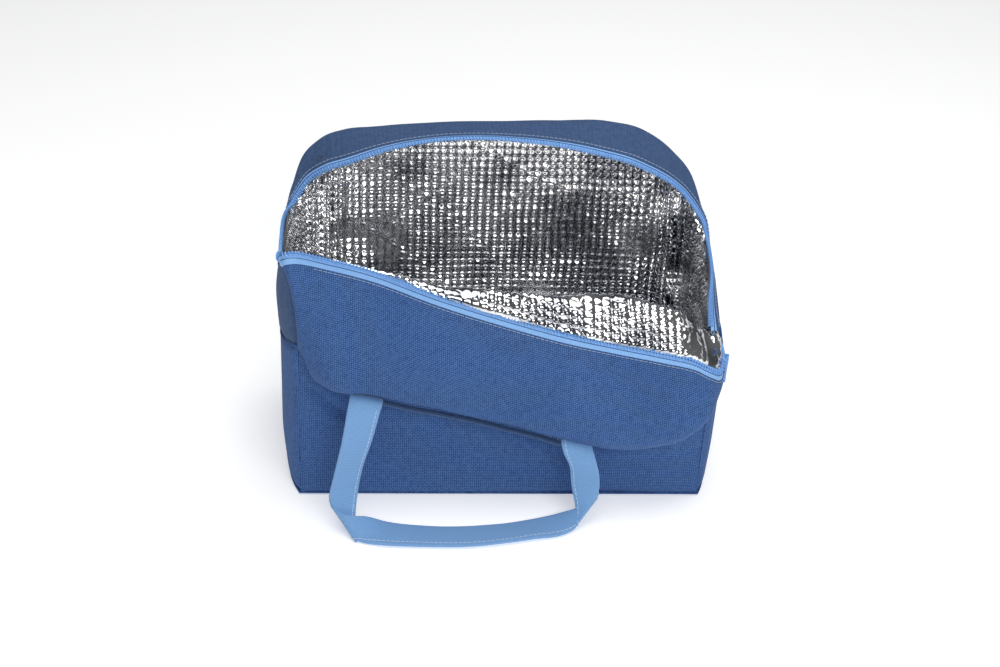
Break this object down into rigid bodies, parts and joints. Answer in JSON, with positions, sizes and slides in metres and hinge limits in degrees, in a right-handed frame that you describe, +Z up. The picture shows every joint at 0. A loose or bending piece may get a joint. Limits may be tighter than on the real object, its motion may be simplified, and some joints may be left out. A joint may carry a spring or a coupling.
{
  "type": "insulated cooler bag",
  "caption": "Soft insulated cooler bag with a boxy canvas body, foil lining, curved zipped mouth left open, slumped front flap and fabric carry handles.",
  "frame": {"origin": "centre of the flat base, on the floor", "axes": "+Z up, +X along the bag's width to its right as seen from the front, the front flap and front handle at -Y"},
  "size_m": [0.3835, 0.3347, 0.2763],
  "materials": {
    "canvas": "matte coarse basket-weave blue canvas",
    "foam": "closed-cell white foam",
    "foil": "embossed metallised film over bubble foam",
    "board": "plain stiffening board",
    "zip_tape": "flat woven light blue tape",
    "zip_coil": "satin light blue coil",
    "zip_metal": "satin grey metal",
    "strap": "matte ribbed light blue cotton tape"
  },
  "bodies": {
    "bag": {"lower_front_panel": "canvas", "lower_front_foam": "foam", "lower_front_lining": "foil", "lower_back_panel": "canvas", "lower_back_foam": "foam", "lower_back_lining": "foil", "lower_left_panel": "canvas", "lower_left_foam": "foam", "lower_left_lining": "foil", "lower_right_panel": "canvas", "lower_right_foam": "foam", "lower_right_lining": "foil", "upper_back_panel": "canvas", "upper_back_foam": "foam", "upper_back_lining": "foil", "upper_left_panel": "canvas", "upper_left_foam": "foam", "upper_left_lining": "foil", "upper_right_panel": "canvas", "upper_right_foam": "foam", "upper_right_lining": "foil", "base_panel": "canvas", "base_board": "board", "base_foam": "foam", "base_lining": "foil", "zip_tape_back": "zip_tape", "zip_coil_back": "zip_coil", "zip_end_tab": "zip_tape", "zip_end_stop": "zip_metal"},
    "front_flap": {"flap_panel": "canvas", "flap_foam": "foam", "flap_lining": "foil", "flap_seam_lip": "canvas", "zip_tape_front": "zip_tape", "zip_coil_front": "zip_coil", "front_strap_end_left": "strap", "front_strap_end_right": "strap"},
    "front_handle": {"front_handle": "strap"},
    "rear_handle": {"rear_handle": "strap"},
    "zip_slider": {"zip_slider": "zip_metal"},
    "zip_pull": {"zip_pull": "zip_metal"}
  },
  "joints": [
    {"name": "flap_lift", "type": "hinge", "parent": "bag", "child": "front_flap", "pos_m": [0, -0.0935, 0.148], "axis": [-1, 0, 0], "range_deg": [0, 35]},
    {"name": "front_handle_swing", "type": "hinge", "parent": "front_flap", "child": "front_handle", "pos_m": [-0.025, -0.1215, 0.089], "axis": [-0.9695, 0, 0.2451], "range_deg": [0, 130]},
    {"name": "rear_handle_swing", "type": "hinge", "parent": "bag", "child": "rear_handle", "pos_m": [0, 0.096, 0.146], "axis": [1, 0, 0], "range_deg": [0, 150]},
    {"name": "zip_travel", "type": "slide", "parent": "bag", "child": "zip_slider", "axis": [0, 0, 1], "range_m": [0, 0.012]},
    {"name": "zip_pull_swing", "type": "hinge", "parent": "zip_slider", "child": "zip_pull", "pos_m": [0.19005, -0.06814, 0.128], "axis": [-0.2326, -0.9726, 0], "range_deg": [0, 120]}
  ]
}
